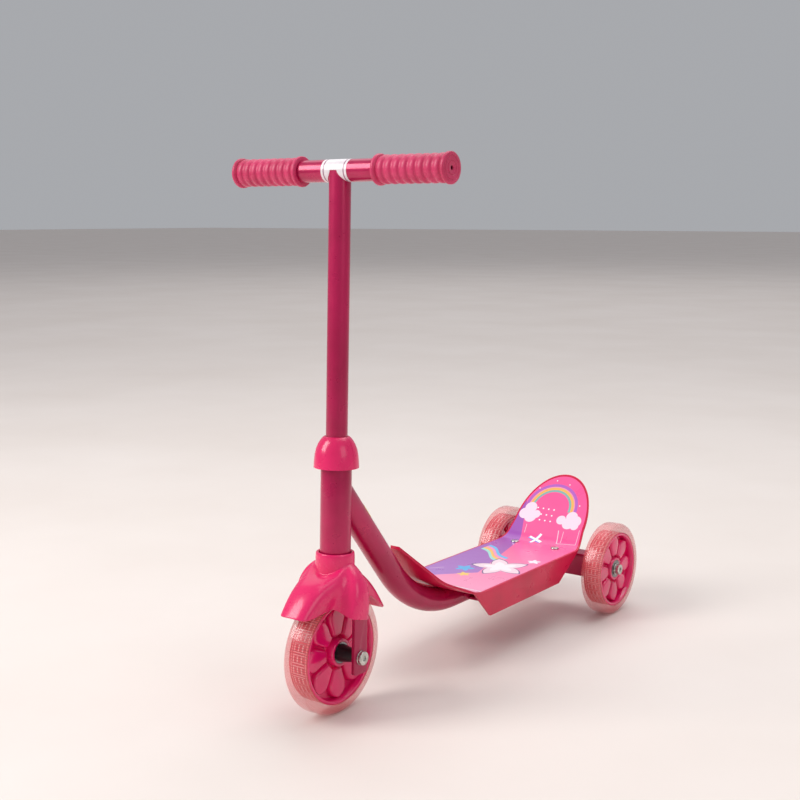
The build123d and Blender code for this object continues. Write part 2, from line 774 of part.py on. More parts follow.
def fold_radii(lift):
    """Radii of the folds of the line that deck_line gives for the same lift."""
    return [nose_rise_r - lift, nose_fold_r - lift, tail_fold_r - lift]


def deck_plate(low, high):
    """The folded plate between two lifts from the top face, before its outline is cut."""
    with BuildSketch(Plane.YZ.offset(-deck_half)) as profile:
        with BuildLine():
            lower = FilletPolyline(*deck_line(low), radius=fold_radii(low))
            upper = FilletPolyline(*deck_line(high), radius=fold_radii(high))
            Line(lower @ 0, upper @ 0)
            Line(lower @ 1, upper @ 1)
        make_face()
    return extrude(profile.sketch, amount=2 * deck_half, mode=Mode.PRIVATE)


def deck_outline(inset):
    """The deck's plan view, drawn in by a distance, as a tall block."""
    half = deck_half - inset
    tail_length = tail_tip - inset - tail_arch_start
    with BuildSketch() as plan:
        with BuildLine():
            Polyline(
                (0, back(nose_tip + inset)), (nose_tip_half, back(nose_tip + inset)),
                (half, back(nose_straight)), (half, back(tray_rear_top)),
                (tail_half - inset, back(tail_arch_start)))
            EllipticalCenterArc((0, back(tail_arch_start)), tail_half - inset, tail_length, 0, arc_size=90)
            Line((0, back(tail_tip - inset)), (0, back(nose_tip + inset)))
        make_face()
        mirror(about=Plane.YZ)
    return extrude(plan.sketch, amount=2 * tail_tip, mode=Mode.PRIVATE)


def side_block(half, *points):
    """A block with a side view given by distances behind the front axle and heights."""
    with BuildSketch(Plane.YZ.offset(-half)) as profile:
        with BuildLine():
            Polyline(*[(back(y), z) for y, z in points], close=True)
        make_face()
    return extrude(profile.sketch, amount=2 * half, mode=Mode.PRIVATE)


bolt_places = ((deck_bolt_x, back(deck_bolt_y)), (-deck_bolt_x, back(deck_bolt_y)))
screw_places = ((deck_bolt_x, back(front_screw_back)), (-deck_bolt_x, back(front_screw_back)))
tray_inner = deck_half - deck_wall
rib_pitch_y = (tray_rear - tray_front) / (rib_count - 1)

with BuildPart() as deck:
    add(side_block(
        deck_half, (tray_front_top, wall_front_top), (tray_front, tray_bottom),
        (tray_rear, tray_bottom), (tray_rear_top, deck_under), (nose_fold, deck_top)))
    add(side_block(
        tray_inner, (0, tray_bottom - 1), (wheelbase, tray_bottom - 1),
        (wheelbase, wall_front_top), (0, wall_front_top)), mode=Mode.SUBTRACT)
    add(deck_plate(-deck_thick, 0))
    with BuildSketch(Plane.XY.offset(deck_under)):
        for rib in range(rib_count):
            with Locations((0, back(tray_front + rib_pitch_y * rib))):
                Rectangle(2 * tray_inner, rib_thick)
        Rectangle(2 * (tube_r + 1), 2 * wheelbase, mode=Mode.SUBTRACT)
    extrude(amount=-rib_depth)
    with BuildSketch(Plane.XY.offset(deck_under)):
        with Locations(*screw_places):
            Circle(boss_r)
    extrude(amount=front_bracket_top - deck_under)
    with BuildSketch(Plane.XY.offset(front_bracket_top)):
        with Locations(*screw_places):
            Circle(screw_r)
    extrude(amount=screw_bite, mode=Mode.SUBTRACT)
    with BuildSketch(Plane.XY.offset(tray_bottom)):
        with Locations(*bolt_places):
            Circle(deck_bolt_r + axle_hole_gap)
    extrude(amount=2 * deck_top, mode=Mode.SUBTRACT)
    add(deck_outline(0), mode=Mode.INTERSECT)
save(deck, "deck")

with BuildPart() as deck_sheet:
    add(deck_plate(0, sheet_thick))
    with BuildSketch(Plane.XY.offset(tray_bottom)):
        with Locations(*bolt_places):
            Circle(deck_bolt_head_r + end_gap)
        with Locations((0, back(0))):
            Rectangle(2 * wheelbase, 2 * sheet_front)
    extrude(amount=2 * tail_tip, mode=Mode.SUBTRACT)
    add(deck_outline(sheet_inset), mode=Mode.INTERSECT)
save(deck_sheet, "deck_sheet")

# ---------------------------------------------------------------- deck brackets and fasteners
rear_bracket_under = deck_under - bracket_thick
front_bracket_under = front_bracket_top - bracket_thick

for side, name in ((1, "left"), (-1, "right")):
    with BuildPart() as rear_bracket:
        with BuildSketch(Plane.XZ.offset(-back(deck_bolt_y))):
            with BuildLine():
                Polyline(
                    (side * bracket_root, deck_under), (side * bracket_reach, deck_under),
                    (side * bracket_reach, rear_bracket_under),
                    (side * bracket_web, rear_bracket_under),
                    (side * tube_r, tube_centre_z), (side * bracket_root, tube_centre_z), close=True)
            make_face()
            with Locations((0, tube_centre_z)):
                Circle(tube_r, mode=Mode.SUBTRACT)
        extrude(amount=bracket_width / 2, both=True)
        with BuildSketch(Plane.XY.offset(tray_bottom)):
            with Locations(*bolt_places):
                Circle(deck_bolt_r + axle_hole_gap)
        extrude(amount=deck_top, mode=Mode.SUBTRACT)
    save(rear_bracket, f"rear_deck_bracket_{name}")

    with BuildPart() as front_bracket:
        with BuildSketch(Plane.XZ.offset(-back(front_screw_back))):
            with Locations((side * (bracket_reach + bracket_root) / 2, front_bracket_top)):
                Rectangle(
                    bracket_reach - bracket_root, bracket_thick, align=(Align.CENTER, Align.MAX))
            with Locations((0, tube_centre_z)):
                Circle(tube_r, mode=Mode.SUBTRACT)
        extrude(amount=bracket_width / 2, both=True)
        with BuildSketch(Plane.XY.offset(tray_bottom)):
            with Locations(*screw_places):
                Circle(screw_r + axle_hole_gap)
        extrude(amount=deck_top, mode=Mode.SUBTRACT)
    save(front_bracket, f"front_deck_bracket_{name}")

nut_top = rear_bracket_under
nut_bottom = nut_top - deck_nut_height
with BuildPart() as rear_deck_bolts:
    with BuildSketch(Plane.XY.offset(deck_top)):
        with Locations(*bolt_places):
            Circle(deck_bolt_head_r)
    extrude(amount=deck_bolt_head_height)
    fillet(edges().group_by(Axis.Z)[-1], deck_bolt_head_height / 2)
    with BuildSketch(Plane.XY.offset(deck_top)):
        with Locations(*bolt_places):
            Circle(deck_bolt_r)
    extrude(amount=nut_bottom - deck_bolt_tail - deck_top)
save(rear_deck_bolts, "rear_deck_bolts")

with BuildPart() as rear_deck_nuts:
    with BuildSketch(Plane.XY.offset(nut_top)):
        with Locations(*bolt_places):
            RegularPolygon(deck_nut_flats / 2, 6, major_radius=False)
            Circle(deck_bolt_r, mode=Mode.SUBTRACT)
    extrude(amount=-deck_nut_height)
save(rear_deck_nuts, "rear_deck_nuts")

with BuildPart() as front_deck_screws:
    with BuildSketch(Plane.XY.offset(front_bracket_under)):
        with Locations(*screw_places):
            Circle(screw_head_r)
    extrude(amount=-screw_head_height)
    with BuildSketch(Plane.XY.offset(front_bracket_under)):
        with Locations(*screw_places):
            Circle(screw_r)
    extrude(amount=bracket_thick + screw_bite)
save(front_deck_screws, "front_deck_screws")
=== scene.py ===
"""Looks of a toddler's kick scooter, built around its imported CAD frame. Metres, +Z up, front towards -Y."""

import json
from math import cos, hypot, pi, radians, sin, sqrt

import bmesh
import bpy
from mathutils import Matrix, Vector


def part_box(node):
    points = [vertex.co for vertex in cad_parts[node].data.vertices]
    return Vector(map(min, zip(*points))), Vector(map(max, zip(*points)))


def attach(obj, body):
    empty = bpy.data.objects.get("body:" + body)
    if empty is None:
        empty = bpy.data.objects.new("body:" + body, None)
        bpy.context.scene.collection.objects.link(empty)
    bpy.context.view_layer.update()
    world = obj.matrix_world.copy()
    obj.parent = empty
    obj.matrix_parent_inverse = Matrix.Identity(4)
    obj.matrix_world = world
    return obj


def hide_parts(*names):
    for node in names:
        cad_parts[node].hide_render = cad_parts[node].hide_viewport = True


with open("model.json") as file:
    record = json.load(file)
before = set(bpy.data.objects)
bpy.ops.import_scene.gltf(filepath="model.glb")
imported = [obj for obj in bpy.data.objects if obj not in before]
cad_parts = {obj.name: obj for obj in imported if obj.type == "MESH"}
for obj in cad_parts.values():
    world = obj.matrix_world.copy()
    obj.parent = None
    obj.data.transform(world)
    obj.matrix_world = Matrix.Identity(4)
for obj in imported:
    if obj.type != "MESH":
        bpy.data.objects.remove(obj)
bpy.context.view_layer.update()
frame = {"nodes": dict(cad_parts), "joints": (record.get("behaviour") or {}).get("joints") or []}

MM = 0.001
scene = bpy.context.scene
joints = {joint["name"]: joint for joint in frame["joints"]}
front_axle = Vector(joints["front_wheel_spin"]["pos_m"])
rear_left_axle = Vector(joints["rear_left_wheel_spin"]["pos_m"])
rear_right_axle = Vector(joints["rear_right_wheel_spin"]["pos_m"])
steer_foot = Vector(joints["steering_turn"]["pos_m"])
steer_axis = Vector(joints["steering_turn"]["axis"]).normalized()


def frame_matrix(origin, x_dir, z_dir):
    """Places local X and Z along two directions, in millimetres."""
    z = Vector(z_dir).normalized()
    x = Vector(x_dir).normalized()
    y = z.cross(x)
    turn = Matrix((x, y, z)).transposed().to_4x4()
    return Matrix.Translation(origin) @ turn @ Matrix.Scale(MM, 4)


steer_frame = frame_matrix(steer_foot, (1, 0, 0), steer_axis)


def across(centre):
    """Local Z along the scooter's X axis, local X upwards: for wheels and grips."""
    return frame_matrix(centre, (0, 0, 1), (1, 0, 0))


# ---------------------------------------------------------------- mesh helpers
def new_piece(bm, name, body, slot, finish, *nodes, outward=True, smooth_angle=38):
    """Turns a bmesh into a finished piece that rides on a body."""
    if outward:
        bmesh.ops.recalc_face_normals(bm, faces=bm.faces)
    mesh = bpy.data.meshes.new(name)
    bm.to_mesh(mesh)
    bm.free()
    mesh.shade_smooth()
    mesh.set_sharp_from_angle(angle=radians(smooth_angle))
    mesh.materials.append(finish)
    piece = bpy.data.objects.new(name, mesh)
    scene.collection.objects.link(piece)
    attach(piece, body)
    if nodes:
        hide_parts(*nodes)
    return piece


def closed_outline(bm, points):
    """A closed loop of edges through (radius, height) points in the XZ plane."""
    corners = [bm.verts.new((radius, 0, height)) for radius, height in points]
    edges = [bm.edges.new((a, b)) for a, b in zip(corners, corners[1:] + corners[:1])]
    return corners + edges


def turn_full(bm, points, steps):
    """Spins a closed outline all the way round local Z."""
    bmesh.ops.spin(bm, geom=closed_outline(bm, points), cent=(0, 0, 0), axis=(0, 0, 1),
                   angle=2 * pi, steps=steps, use_merge=True, use_duplicate=False)
    bmesh.ops.remove_doubles(bm, verts=bm.verts, dist=1e-4)


def rounded_corner(centre, radius, start, end, steps):
    """Points along an arc in the outline's plane, angles in degrees."""
    angles = [radians(start + (end - start) * k / steps) for k in range(steps + 1)]
    return [(centre[0] + radius * cos(a), centre[1] + radius * sin(a)) for a in angles]


def round_edges(bm, width, segments=3, least=28):
    """Bevels every edge sharper than an angle."""
    sharp = [e for e in bm.edges if e.is_manifold and e.calc_face_angle(0) > radians(least)]
    bmesh.ops.bevel(bm, geom=sharp, offset=width, offset_type="OFFSET", segments=segments,
                    profile=0.5, affect="EDGES", material=-1, clamp_overlap=True)


def softened(node, body, slot, finish, width, segments=3, least=28):
    """A copy of a CAD node with its edges rounded, which stands for the node."""
    bm = bmesh.new()
    bm.from_mesh(frame["nodes"][node].data)
    bmesh.ops.remove_doubles(bm, verts=bm.verts, dist=1e-6)
    bmesh.ops.dissolve_limit(bm, angle_limit=radians(0.5), verts=bm.verts, edges=bm.edges)
    round_edges(bm, width, segments, least)
    return new_piece(bm, node + "_rounded", body, slot, finish, node, outward=False)


# ---------------------------------------------------------------- material helpers
def paint(red, green, blue):
    """Screen colour, 0 to 255, as the linear colour that shaders take."""
    def linear(value):
        value /= 255
        return value / 12.92 if value <= 0.04045 else ((value + 0.055) / 1.055) ** 2.4
    return (linear(red), linear(green), linear(blue), 1.0)


class Shader:
    """One material's node tree, with short ways to add maths, masks and colour layers."""

    def __init__(self, name):
        self.material = bpy.data.materials.new(name)
        self.material.use_nodes = True
        self.tree = self.material.node_tree
        self.surface = self.tree.nodes["Principled BSDF"]
        place = self.tree.nodes.new("ShaderNodeTexCoord")
        self.place = place.outputs["Object"]

    def node(self, kind, **values):
        made = self.tree.nodes.new(kind)
        for key, value in values.items():
            setattr(made, key, value)
        return made

    def join(self, value, socket):
        if isinstance(value, bpy.types.NodeSocket):
            self.tree.links.new(value, socket)
        else:
            socket.default_value = value

    def maths(self, operation, *values):
        made = self.node("ShaderNodeMath", operation=operation)
        for value, socket in zip(values, made.inputs):
            self.join(value, socket)
        return made.outputs[0]

    def axes(self, origin=(0, 0, 0)):
        """Object X, Y and Z in millimetres from a point."""
        mapping = self.node("ShaderNodeMapping")
        self.join(self.place, mapping.inputs["Vector"])
        mapping.inputs["Scale"].default_value = (1 / MM,) * 3
        mapping.inputs["Location"].default_value = [-c / MM for c in origin]
        split = self.node("ShaderNodeSeparateXYZ")
        self.join(mapping.outputs[0], split.inputs[0])
        return split.outputs[0], split.outputs[1], split.outputs[2]

    def noise(self, scale, detail=4.0, rough=0.55, stretch=(1, 1, 1)):
        mapping = self.node("ShaderNodeMapping")
        self.join(self.place, mapping.inputs["Vector"])
        mapping.inputs["Scale"].default_value = stretch
        made = self.node("ShaderNodeTexNoise")
        self.join(mapping.outputs[0], made.inputs["Vector"])
        made.inputs["Scale"].default_value = scale
        made.inputs["Detail"].default_value = detail
        made.inputs["Roughness"].default_value = rough
        return made.outputs["Fac"]

    def spread(self, value, low, high, to_low=0.0, to_high=1.0):
        """Rescales a value, clamped, from one range to another."""
        made = self.node("ShaderNodeMapRange")
        for given, socket in zip((value, low, high, to_low, to_high), made.inputs):
            self.join(given, socket)
        return made.outputs[0]

    def layer(self, mask, under, over):
        """Over where mask is 1, under where it is 0."""
        made = self.node("ShaderNodeMix", data_type="RGBA")
        self.join(mask, made.inputs[0])
        self.join(under, made.inputs[6])
        self.join(over, made.inputs[7])
        return made.outputs[2]

    def inside(self, distance, limit, soft=0.25):
        """1 where a distance is under a limit, with a narrow soft edge."""
        return self.spread(distance, limit - soft, limit + soft, 1.0, 0.0)

    def reach(self, x, y, centre):
        """Distance from a centre in a plane."""
        return self.maths("SQRT", self.maths(
            "ADD", self.maths("POWER", self.maths("SUBTRACT", x, centre[0]), 2.0),
            self.maths("POWER", self.maths("SUBTRACT", y, centre[1]), 2.0)))

    def all_of(self, *masks):
        result = masks[0]
        for mask in masks[1:]:
            result = self.maths("MULTIPLY", result, mask)
        return result

    def any_of(self, *masks):
        result = masks[0]
        for mask in masks[1:]:
            result = self.maths("MAXIMUM", result, mask)
        return result

    def bumps(self, *layers):
        """Bump layers of (height, strength, distance in millimetres) on the surface."""
        normal = None
        for height, strength, distance in layers:
            made = self.node("ShaderNodeBump")
            made.inputs["Strength"].default_value = strength
            made.inputs["Distance"].default_value = distance * MM
            self.join(height, made.inputs["Height"])
            if normal is not None:
                self.join(normal, made.inputs["Normal"])
            normal = made.outputs[0]
        self.join(normal, self.surface.inputs["Normal"])

    def set(self, **values):
        """Plain values and links for the shader's own sockets."""
        for key, value in values.items():
            self.join(value, self.surface.inputs[key.replace("_", " ")])
        return self.material


def tinted(shader, light, dark, amount_scale=18.0, low=0.42, high=0.62):
    """Slow change between two close tones, as mouldings and paint have."""
    return shader.layer(shader.spread(shader.noise(amount_scale, 3.0), low, high), light, dark)


# ---------------------------------------------------------------- finishes
def metallic_paint():
    s = Shader("magenta_metallic_paint")
    flakes = s.noise(2600.0, 2.0, 0.6)
    base = tinted(s, paint(184, 8, 80), paint(168, 6, 70), 12.0)
    colour = s.layer(s.spread(flakes, 0.56, 0.74, 0.0, 0.3), base, paint(206, 46, 104))
    s.bumps((s.noise(420.0, 2.0), 0.05, 0.05), (flakes, 0.04, 0.02))
    return s.set(Base_Color=colour, Metallic=0.25, Specular_IOR_Level=0.35,
                 Roughness=s.spread(s.noise(60.0), 0.3, 0.7, 0.26, 0.36),
                 Coat_Weight=0.4, Coat_Roughness=0.08)


def moulding(name, light, dark, rough=(0.22, 0.32), grain=0.05, coat=0.3):
    """Glossy injection moulding: slow tone change, soft flow ripples and a fine skin."""
    s = Shader(name)
    s.bumps((s.noise(90.0, 3.0), 0.05, 0.2), (s.noise(1500.0, 2.0), grain, 0.03))
    return s.set(Base_Color=tinted(s, light, dark), Roughness=s.spread(s.noise(45.0), 0.3, 0.7, *rough),
                 Coat_Weight=coat, Coat_Roughness=0.12, Specular_IOR_Level=0.35)


def soft_rubber():
    s = Shader("pink_grip_rubber")
    s.bumps((s.noise(900.0, 3.0), 0.12, 0.05), (s.noise(120.0, 3.0), 0.06, 0.2))
    return s.set(Base_Color=tinted(s, paint(206, 46, 98), paint(192, 38, 86), 30.0),
                 Roughness=s.spread(s.noise(200.0), 0.3, 0.7, 0.36, 0.5), Sheen_Weight=0.15,
                 Sheen_Roughness=0.4)


def steel(name, light, dark, rough):
    """Plated or turned metal with fine rings of tool marks and dull patches."""
    s = Shader(name)
    s.bumps((s.noise(1800.0, 2.0, 0.6, (0.1, 1, 1)), 0.1, 0.02))
    return s.set(Base_Color=tinted(s, light, dark, 160.0), Metallic=1.0,
                 Roughness=s.spread(s.noise(260.0), 0.3, 0.7, *rough))


def clear_tyre():
    s = Shader("clear_pink_tyre")
    haze = s.spread(s.noise(70.0, 4.0), 0.35, 0.7)
    s.bumps((s.noise(160.0, 3.0), 0.05, 0.2))
    return s.set(Base_Color=s.layer(haze, paint(230, 92, 102), paint(238, 112, 116)),
                 Roughness=s.spread(s.noise(90.0), 0.3, 0.7, 0.12, 0.22), IOR=1.46, Alpha=0.4,
                 Coat_Weight=0.5, Coat_Roughness=0.06)


def printed_film(axle):
    """Rim film under the clear tyre: framed blocks of pale bars round the wheel, and a line at each edge."""
    s = Shader("rim_print_film")
    x, y, z = s.axes(axle)
    pitch, film_radius = 11.3, 54.0
    turn = s.maths("MULTIPLY", s.maths("ARCTAN2", z, y), film_radius)
    cell = s.maths("SUBTRACT", s.maths("FRACT", s.maths("DIVIDE", turn, pitch)), 0.5)
    along = s.maths("MULTIPLY", s.maths("ABSOLUTE", cell), pitch)
    side = s.maths("ABSOLUTE", x)
    bars = s.all_of(s.inside(along, 3.4), s.inside(s.maths("PINGPONG", s.maths("ADD", x, 1.2), 2.6), 0.8),
                    s.inside(side, 7.0))
    from_line = s.maths("ABSOLUTE", s.maths("SUBTRACT", along, 4.3))
    frame_lines = s.all_of(s.inside(from_line, 0.4), s.inside(side, 7.6))
    edge = s.inside(s.maths("ABSOLUTE", s.maths("SUBTRACT", side, 9.3)), 0.35)
    mark = s.any_of(bars, frame_lines, edge)
    base = s.layer(s.spread(s.noise(120.0), 0.4, 0.65), paint(206, 62, 84), paint(222, 92, 108))
    s.bumps((s.noise(300.0), 0.05, 0.05))
    return s.set(Base_Color=s.layer(mark, base, paint(255, 226, 224)), Roughness=0.35)


TAIL_FOLD = 426.0      # where the deck's tail rises, millimetres behind the front axle
TAIL_ANGLE = 47.7      # degrees


def deck_artwork():
    """Printed deck film: colour fields, a rainbow between clouds, dots, a cross and stars with a trail, and a
    painted highlight along the film's front edge on the near side.
    """
    s = Shader("deck_printed_film")
    x, y, _ = s.axes((0, front_axle.y, 0))
    beyond = s.maths("MAXIMUM", s.maths("SUBTRACT", y, TAIL_FOLD), 0.0)
    along = s.maths("ADD", y, s.maths("MULTIPLY", beyond, 1 / cos(radians(TAIL_ANGLE)) - 1))

    def line_side(a, b):
        """Signed distance from a line through two points, positive on its right."""
        length = hypot(b[0] - a[0], b[1] - a[1])
        across_x, across_y = (b[1] - a[1]) / length, -(b[0] - a[0]) / length
        return s.maths("ADD", s.maths("MULTIPLY", s.maths("SUBTRACT", x, a[0]), across_x),
                       s.maths("MULTIPLY", s.maths("SUBTRACT", along, a[1]), across_y))

    def stroke(a, b, half_width):
        """A straight stroke between two points."""
        length = hypot(b[0] - a[0], b[1] - a[1])
        dir_x, dir_y = (b[0] - a[0]) / length, (b[1] - a[1]) / length
        run = s.maths("ADD", s.maths("MULTIPLY", s.maths("SUBTRACT", x, (a[0] + b[0]) / 2), dir_x),
                      s.maths("MULTIPLY", s.maths("SUBTRACT", along, (a[1] + b[1]) / 2), dir_y))
        return s.all_of(s.inside(s.maths("ABSOLUTE", line_side(a, b)), half_width),
                        s.inside(s.maths("ABSOLUTE", run), length / 2))

    def ring(centre, inner, outer):
        distance = s.reach(x, along, centre)
        middle, half = (inner + outer) / 2, (outer - inner) / 2
        return s.inside(s.maths("ABSOLUTE", s.maths("SUBTRACT", distance, middle)), half)

    def blobs(*circles):
        return s.any_of(*[s.inside(s.reach(x, along, (cx, cy)), r) for cx, cy, r in circles])

    def star(centre, size, turned=0.0, points=5):
        """A star whose edge distance swings between its tips and its notches."""
        dx, dy = s.maths("SUBTRACT", x, centre[0]), s.maths("SUBTRACT", along, centre[1])
        angle = s.maths("ADD", s.maths("ARCTAN2", dy, dx), turned)
        swing = s.maths("PINGPONG", angle, pi / points)
        share = s.spread(swing, 0.0, pi / points, 1.0, 0.46)
        return s.inside(s.maths("DIVIDE", s.reach(x, along, centre), share), size, 0.5)

    pale = s.spread(along, 185.0, 425.0, 1.0, 0.0)
    colour = s.layer(pale, paint(246, 84, 150), paint(252, 160, 196))
    purple = s.all_of(
        s.spread(line_side((-36.8, 452.0), (0.0, 300.0)), -0.25, 0.25),
        s.spread(line_side((-28.6, 221.0), (8.0, 259.0)), 0.25, -0.25))
    purple_tone = s.layer(s.spread(along, 200.0, 440.0), paint(176, 124, 200), paint(158, 78, 176))
    colour = s.layer(purple, colour, purple_tone)

    arch = s.spread(along, 474.0, 476.0)
    bow = (-5.5, 477.0)
    for inner, outer, tone in ((33.2, 37.8, paint(176, 96, 190)), (31.6, 33.6, paint(250, 150, 170)),
                               (28.6, 32.0, paint(252, 178, 84)), (25.4, 28.6, paint(126, 178, 172))):
        colour = s.layer(s.all_of(ring(bow, inner, outer), arch), colour, tone)
    clouds = s.any_of(
        blobs((-34.0, 474.0, 8.5), (-40.0, 464.5, 8.0), (-30.0, 461.0, 8.6), (-23.0, 465.5, 6.0)),
        blobs((29.0, 469.0, 8.0), (36.0, 463.5, 8.2), (27.0, 459.0, 8.4), (15.5, 462.5, 6.6),
              (37.0, 456.5, 5.6)))
    colour = s.layer(clouds, colour, paint(250, 216, 232))

    dots = blobs(*[(-24.0 + 8.0 * k, 475.5, 1.15) for k in range(4)],
                 *[(-16.0 + 8.0 * k, 466.5, 1.15) for k in range(3)],
                 *[(-15.0 + 8.0 * k, 458.0, 1.15) for k in range(3)],
                 (-12.0, 519.5, 0.9), (8.0, 516.0, 0.9), (-44.5, 495.0, 0.9), (33.5, 487.0, 0.9),
                 (-33.0, 505.0, 0.9))
    colour = s.layer(dots, colour, paint(255, 240, 246))

    cross_shadow = s.any_of(
        stroke((-19.5, 429.5), (0.5, 421.5), 2.1), stroke((-12.5, 416.5), (-5.0, 436.5), 2.1))
    colour = s.layer(cross_shadow, colour, paint(122, 118, 206))
    cross = s.any_of(stroke((-18.5, 431.0), (1.5, 423.0), 1.8), stroke((-11.5, 418.0), (-4.0, 438.0), 1.8))
    colour = s.layer(cross, colour, paint(255, 248, 252))

    outlines = s.any_of(
        stroke((18.0, 447.0), (23.0, 425.0), 0.5), stroke((23.0, 425.0), (49.0, 429.0), 0.3),
        stroke((27.5, 428.0), (25.5, 446.5), 0.3), stroke((46.5, 452.0), (49.0, 429.0), 0.3),
        stroke((-30.5, 449.0), (-29.0, 436.0), 0.3), stroke((-48.0, 242.0), (-36.0, 256.0), 0.45))
    colour = s.layer(s.maths("MULTIPLY", outlines, 0.8), colour, paint(255, 232, 242))

    wave = s.maths("MULTIPLY", s.maths("SINE", s.maths("DIVIDE", x, 7.0)), 2.6)
    trail_line = s.maths("ADD", line_side((-46.0, 366.0), (6.0, 322.0)), wave)
    within = s.all_of(s.spread(x, -46.5, -45.5), s.spread(x, 6.0, 5.0))
    for offset, tone in ((-7.0, paint(104, 190, 240)), (-2.4, paint(250, 156, 196)),
                         (2.2, paint(252, 196, 96)), (6.4, paint(160, 226, 214))):
        band = s.inside(s.maths("ABSOLUTE", s.maths("SUBTRACT", trail_line, offset)), 2.2)
        colour = s.layer(s.all_of(band, within), colour, tone)
    big_star = (18.0, 297.0)
    colour = s.layer(star(big_star, 37.0, 0.35), colour, paint(86, 78, 130))
    colour = s.layer(star(big_star, 34.6, 0.35), colour, paint(252, 222, 232))
    colour = s.layer(star(big_star, 21.0, 0.35), colour, paint(255, 244, 248))
    colour = s.layer(star((-14.0, 268.0), 12.5, 0.9), colour, paint(96, 178, 232))
    colour = s.layer(star((-1.0, 246.0), 8.5, 0.2), colour, paint(250, 206, 104))
    colour = s.layer(star((40.0, 340.0), 9.0, 0.6), colour, paint(255, 240, 246))

    # Painted highlight: a pale strip along the film's front edge, on the near side only, standing in for
    # light caught by the rounded edge.
    front_edge_painted_highlight = s.all_of(s.inside(s.maths("ABSOLUTE", s.maths("SUBTRACT", along, 197.5)), 1.4),
                           s.spread(x, 11.5, 12.5))
    colour = s.layer(front_edge_painted_highlight, colour, paint(252, 226, 238))
    s.bumps((s.noise(700.0, 2.0), 0.06, 0.03), (s.noise(60.0, 2.0), 0.04, 0.2))
    return s.set(Base_Color=colour, Roughness=s.spread(s.noise(50.0), 0.3, 0.7, 0.26, 0.38),
                 Coat_Weight=0.35, Coat_Roughness=0.15)


def tube_sticker():
    """Plain two-tone sticker: a yellow block, then a white block ruled with grey bars."""
    s = Shader("tube_sticker")
    low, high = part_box("tube_label")
    x, _, z = s.axes((0, 0, 0))
    drop = s.spread(z, low.z / MM, high.z / MM, 1.0, 0.0)
    yellow = s.inside(drop, 0.3, 0.005)
    bars = s.all_of(s.inside(s.maths("PINGPONG", s.maths("MULTIPLY", drop, 51.0), 1.9), 0.55, 0.1),
                    s.inside(s.maths("ABSOLUTE", x), 6.5, 0.2),
                    s.spread(drop, 0.36, 0.365), s.inside(drop, 0.94, 0.005))
    body = s.layer(s.maths("MULTIPLY", bars, 0.7), paint(236, 230, 226), paint(120, 116, 118))
    s.bumps((s.noise(500.0), 0.05, 0.03))
    return s.set(Base_Color=s.layer(yellow, body, paint(232, 190, 30)), Roughness=0.32, Coat_Weight=0.3)


def bar_wrap():
    """White wrap round the middle of the bar with two plain grey bands."""
    s = Shader("bar_white_wrap")
    x, _, _ = s.axes((0, 0, 0))
    side = s.maths("ABSOLUTE", x)
    bands = s.inside(s.maths("ABSOLUTE", s.maths("SUBTRACT", side, 12.6)), 0.7, 0.15)
    base = tinted(s, paint(240, 234, 236), paint(226, 216, 222), 60.0)
    s.bumps((s.noise(400.0), 0.06, 0.04))
    return s.set(Base_Color=s.layer(bands, base, paint(150, 96, 122)), Roughness=0.34, Coat_Weight=0.3)


tube_paint = metallic_paint()
cover_plastic = moulding("hot_pink_cover_moulding", paint(232, 34, 104), paint(222, 28, 96))
deck_plastic = moulding(
    "deep_pink_deck_moulding", paint(212, 14, 70), paint(198, 12, 62), (0.26, 0.38), 0.08, 0.15)
hub_plastic = moulding("hub_pink_moulding", paint(236, 14, 104), paint(222, 12, 94), (0.1, 0.18), 0.02, 0.8)
black_plastic = moulding(
    "black_spacer_moulding", paint(26, 24, 26), paint(14, 13, 14), (0.34, 0.5), 0.15, 0.1)
nylon = moulding("natural_nylon", paint(226, 222, 214), paint(212, 206, 196), (0.36, 0.5), 0.1, 0.1)
grip_rubber = soft_rubber()
zinc = steel("bright_zinc_plate", paint(214, 214, 208), paint(184, 184, 178), (0.18, 0.34))
bearing_steel = steel("bearing_shield_steel", paint(150, 150, 152), paint(120, 120, 122), (0.24, 0.4))
tyre_clear = clear_tyre()
deck_film = deck_artwork()
sticker = tube_sticker()
wrap_film = bar_wrap()



def finish_node(node, finish):
    """Gives a CAD node that is shown as it is its finish."""
    data = frame["nodes"][node].data
    data.materials.clear()
    data.materials.append(finish)


for node, finish in {
        "down_tube": tube_paint, "stem_tube": tube_paint, "steerer_tube": tube_paint,
        "handlebar": tube_paint, "handlebar_wrap": wrap_film, "tube_label": sticker, "deck_sheet": deck_film,
        "lower_headset_bush": nylon, "upper_headset_bush": nylon, "thrust_washer": nylon,
        "lock_collar": zinc, "lock_collar_screw": zinc, "rear_axle_rod": zinc}.items():
    finish_node(node, finish)

# ---------------------------------------------------------------- wheels, sizes in millimetres
FRONT_TYRE_R = 65.3
REAR_TYRE_R = 58.6
TYRE_WALL = 11.3       # tyre radius less the radius it sits on
TYRE_HALF = 12.4
TYRE_SHOULDER = 6.6
SEAT_HALF = 12.0       # half the tyre's width where it sits, inside a small lip
SEAT_LIP = 0.9
BAND_THICK = 0.4
RIM_THICK = 3.6
RIM_HALF = 11.8
BOSS_R = 14.4
BEARING_R = 11.0
BEARING_WIDTH = 7.0
SLEEVE_R = 5.65
WEB_HALF = 1.6
PETALS = 8
PETAL_RISE = 6.4
PETAL_HALF_SHARE = 0.45    # half a petal's width, as a share of the petals' pitch
PETAL_END_SHARE = 0.4      # length of its rounded end, as a share of the pitch at its tip
PETAL_SIDE = 2.4           # width of its rounded side
PETAL_ROOT = 3.0           # how far it takes to rise beside the boss
PETAL_SHOULDER = 0.78      # height where its flat top begins, as a share of its middle's


